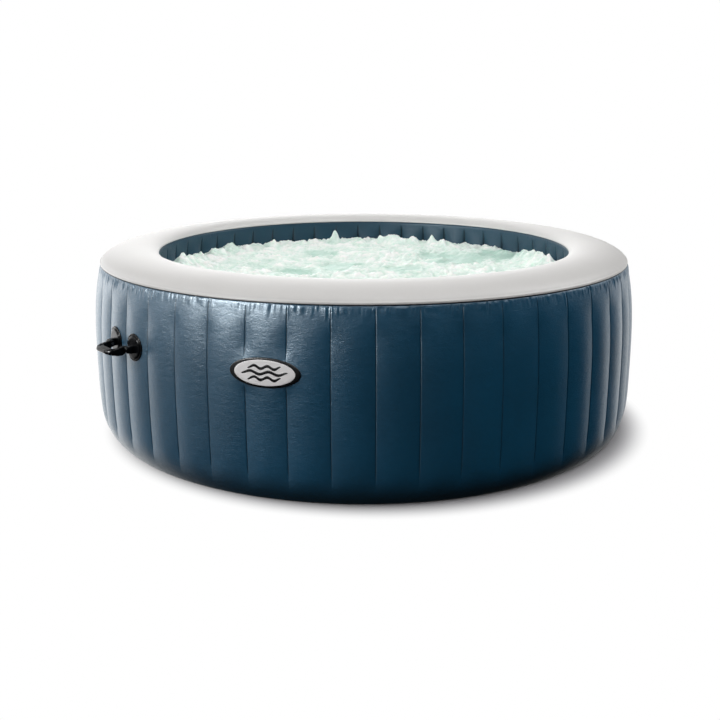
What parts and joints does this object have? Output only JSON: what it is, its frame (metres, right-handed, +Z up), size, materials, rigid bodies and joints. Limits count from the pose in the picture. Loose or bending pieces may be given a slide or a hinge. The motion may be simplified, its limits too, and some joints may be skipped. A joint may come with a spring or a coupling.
{
  "type": "inflatable hot tub",
  "caption": "Round inflatable hot tub with a ribbed side wall, a padded top ring, swinging carry handles, a bubble channel, filter, drain and inflation valve.",
  "frame": {"origin": "middle of the underside, on the ground", "axes": "+Z up, -Y towards the badge on the front of the side wall, +X to the right when facing the badge from outside"},
  "size_m": [2.1598, 2.1598, 0.71],
  "materials": {
    "wall_vinyl": "satin laminated vinyl, dark navy",
    "white_vinyl": "smooth satin vinyl, warm white",
    "web_vinyl": "matte mesh-laminated vinyl, off-white",
    "base_vinyl": "matte embossed vinyl, near black",
    "badge_border": "satin moulded vinyl, black",
    "badge_white": "satin vinyl, off-white",
    "handle_rubber": "satin moulded rubber, black",
    "handle_pin": "satin, dark grey",
    "port_plastic": "satin, black",
    "seal_rubber": "matte, black",
    "grey_plastic": "matte, grey",
    "channel_vinyl": "satin, dark navy",
    "filter_paper": "matte pleated non-woven, pale blue-white",
    "flap_plastic": "matte, off-white",
    "spring_steel": "bright wire"
  },
  "bodies": {
    "tub": {"outer_wall": "wall_vinyl", "inner_wall": "wall_vinyl", "top_ring": "white_vinyl", "base_sheet": "base_vinyl", "floor_liner": "wall_vinyl", "outer_top_weld": "base_vinyl", "inner_top_weld": "wall_vinyl", "beam_webs": "web_vinyl", "air_channel": "channel_vinyl", "jet_strip": "grey_plastic", "air_duct": "grey_plastic", "badge_patch": "badge_border", "badge_face": "badge_white", "left_front_pad": "handle_rubber", "left_rear_pad": "handle_rubber", "right_front_pad": "handle_rubber", "right_rear_pad": "handle_rubber", "suction_port": "port_plastic", "suction_saddle": "seal_rubber", "suction_seal": "seal_rubber", "suction_nut": "grey_plastic", "return_port": "port_plastic", "return_saddle": "seal_rubber", "return_seal": "seal_rubber", "return_nut": "grey_plastic", "return_grille": "grey_plastic", "filter_base": "grey_plastic", "air_port": "port_plastic", "air_saddle": "seal_rubber", "flap_pin": "handle_pin", "drain_port": "port_plastic", "drain_saddle": "seal_rubber", "drain_inner_seal": "seal_rubber", "drain_nut": "grey_plastic", "drain_strainer": "grey_plastic", "valve_boss": "port_plastic", "valve_insert": "grey_plastic", "valve_spring": "spring_steel"},
    "left_grip_body": {"left_grip": "handle_rubber", "left_grip_pins": "handle_pin"},
    "right_grip_body": {"right_grip": "handle_rubber", "right_grip_pins": "handle_pin"},
    "filter_body": {"filter_cartridge": "filter_paper"},
    "filter_cover_body": {"filter_cover": "grey_plastic"},
    "flap_body": {"check_flap": "flap_plastic"},
    "drain_ring_body": {"drain_cap_ring": "grey_plastic"},
    "drain_cap_body": {"drain_cap": "port_plastic", "drain_cap_seal": "seal_rubber"},
    "plunger_body": {"valve_plunger": "flap_plastic", "valve_plunger_seal": "seal_rubber"},
    "valve_ring_body": {"valve_cap_ring": "grey_plastic"},
    "valve_cap_body": {"valve_cap": "port_plastic", "valve_cap_seal": "seal_rubber"}
  },
  "joints": [
    {"name": "left_grip_hinge", "type": "hinge", "parent": "tub", "child": "left_grip_body", "pos_m": [-0.60919, -0.91172, 0.44], "axis": [0.8315, -0.5556, 0], "range_deg": [-60, 50]},
    {"name": "right_grip_hinge", "type": "hinge", "parent": "tub", "child": "right_grip_body", "pos_m": [0.60919, 0.91172, 0.44], "axis": [-0.8315, 0.5556, 0], "range_deg": [-60, 50]},
    {"name": "filter_pull", "type": "slide", "parent": "tub", "child": "filter_body", "axis": [0.7071, -0.7071, 0], "range_m": [0, 0.1]},
    {"name": "filter_cover_twist", "type": "hinge", "parent": "filter_body", "child": "filter_cover_body", "pos_m": [-0.57841, 0.43699, 0.15], "axis": [-0.7071, 0.7071, 0], "range_deg": [0, 30]},
    {"name": "check_flap_hinge", "type": "hinge", "parent": "tub", "child": "flap_body", "pos_m": [-0.75448, 0.75448, 0.346], "axis": [-0.7071, -0.7071, 0], "range_deg": [0, 45], "stiffness_Nm_per_rad": 0.002, "springref_deg": -20.05},
    {"name": "drain_cap_travel", "type": "slide", "parent": "tub", "child": "drain_ring_body", "axis": [-0.5, 0.866, 0], "range_m": [0, 0.0115]},
    {"name": "drain_cap_turn", "type": "hinge", "parent": "drain_ring_body", "child": "drain_cap_body", "pos_m": [-0.55, 0.95263, 0.066], "axis": [-0.5, 0.866, 0], "range_deg": [0, 900]},
    {"name": "valve_cap_travel", "type": "slide", "parent": "tub", "child": "valve_ring_body", "axis": [-0.866, 0.5, 0], "range_m": [0, 0.0087]},
    {"name": "valve_cap_turn", "type": "hinge", "parent": "valve_ring_body", "child": "valve_cap_body", "pos_m": [-0.94916, 0.548, 0.52], "axis": [-0.866, 0.5, 0], "range_deg": [0, 900]},
    {"name": "valve_plunger_push", "type": "slide", "parent": "tub", "child": "plunger_body", "axis": [0.866, -0.5, 0], "range_m": [0, 0.005], "stiffness_N_per_m": 250, "springref_m": -0.003, "deforming": ["valve_spring"]}
  ],
  "couplings": [
    {"joint": "drain_cap_travel", "follows": "drain_cap_turn", "m_per_rad": 0.0007162},
    {"joint": "valve_cap_travel", "follows": "valve_cap_turn", "m_per_rad": 0.00054113}
  ]
}
